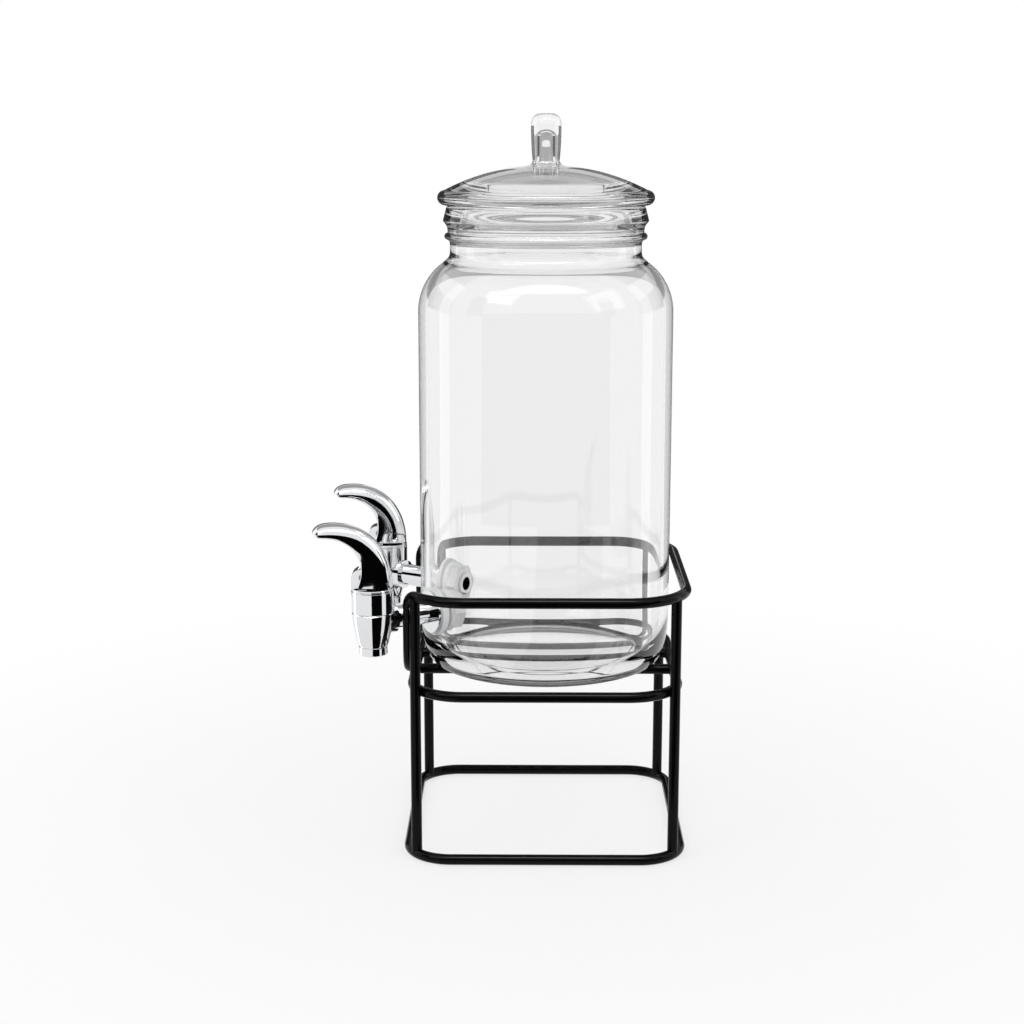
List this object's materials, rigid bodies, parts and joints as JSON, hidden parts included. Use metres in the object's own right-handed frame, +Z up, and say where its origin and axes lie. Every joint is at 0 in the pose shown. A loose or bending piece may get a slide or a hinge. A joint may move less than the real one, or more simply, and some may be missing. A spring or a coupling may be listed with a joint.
{
  "type": "glass drinks dispenser",
  "caption": "Round glass jar with a lift-off knobbed glass lid and lever taps, standing in a black wire stand that keeps the spouts above the counter.",
  "frame": {"origin": "middle of the stand on the floor plane", "axes": "+Z up along the jar's axis, taps towards -Y, the right tap on +X"},
  "size_m": [0.2074, 0.2614, 0.5141],
  "materials": {
    "black_enamel": "gloss black enamel on steel wire",
    "glass": "clear pressed soda-lime glass",
    "lid_glass": "clear pressed soda-lime glass",
    "chrome": "bright chrome plate",
    "steel": "plain stainless steel",
    "silicone": "translucent white silicone",
    "nut_plastic": "pale moulded plastic"
  },
  "bodies": {
    "stand": {"guard_rail": "black_enamel", "seat_ring": "black_enamel", "base_ring": "black_enamel", "leg_front_right": "black_enamel", "leg_front_left": "black_enamel", "leg_back_right": "black_enamel", "leg_back_left": "black_enamel", "crossbar_right": "black_enamel", "crossbar_left": "black_enamel"},
    "jar": {"glass_jar": "glass", "tap_body_right": "chrome", "bonnet_right": "chrome", "outer_washer_right": "silicone", "inner_washer_right": "silicone", "clamp_nut_right": "nut_plastic", "tap_body_left": "chrome", "bonnet_left": "chrome", "outer_washer_left": "silicone", "inner_washer_left": "silicone", "clamp_nut_left": "nut_plastic"},
    "lid": {"lid": "lid_glass"},
    "lever_right": {"lever_right": "chrome", "lever_pin_right": "steel"},
    "valve_right": {"valve_stem_right": "steel", "stem_pin_right": "steel", "seat_cup_right": "silicone", "return_spring_right": "steel"},
    "lever_left": {"lever_left": "chrome", "lever_pin_left": "steel"},
    "valve_left": {"valve_stem_left": "steel", "stem_pin_left": "steel", "seat_cup_left": "silicone", "return_spring_left": "steel"}
  },
  "joints": [
    {"name": "jar_lift", "type": "slide", "parent": "stand", "child": "jar", "axis": [0, 0, 1], "range_m": [0, 0.12]},
    {"name": "lid_lift", "type": "slide", "parent": "jar", "child": "lid", "axis": [0, 0, 1], "range_m": [0, 0.1]},
    {"name": "lever_tilt_right", "type": "hinge", "parent": "jar", "child": "lever_right", "pos_m": [0.07226, -0.12632, 0.2021], "axis": [1, 0, 0], "range_deg": [0, 25]},
    {"name": "valve_lift_right", "type": "slide", "parent": "jar", "child": "valve_right", "axis": [0, 0, 1], "range_m": [0, 0.0032], "stiffness_N_per_m": 1500, "springref_m": -0.003, "deforming": ["return_spring_right"]},
    {"name": "lever_tilt_left", "type": "hinge", "parent": "jar", "child": "lever_left", "pos_m": [-0.07226, -0.12632, 0.2021], "axis": [1, 0, 0], "range_deg": [0, 25]},
    {"name": "valve_lift_left", "type": "slide", "parent": "jar", "child": "valve_left", "axis": [0, 0, 1], "range_m": [0, 0.0032], "stiffness_N_per_m": 1500, "springref_m": -0.003, "deforming": ["return_spring_left"]}
  ],
  "couplings": [
    {"joint": "lever_tilt_right", "follows": "valve_lift_right", "rad_per_m": 136.05},
    {"joint": "lever_tilt_left", "follows": "valve_lift_left", "rad_per_m": 136.05}
  ]
}
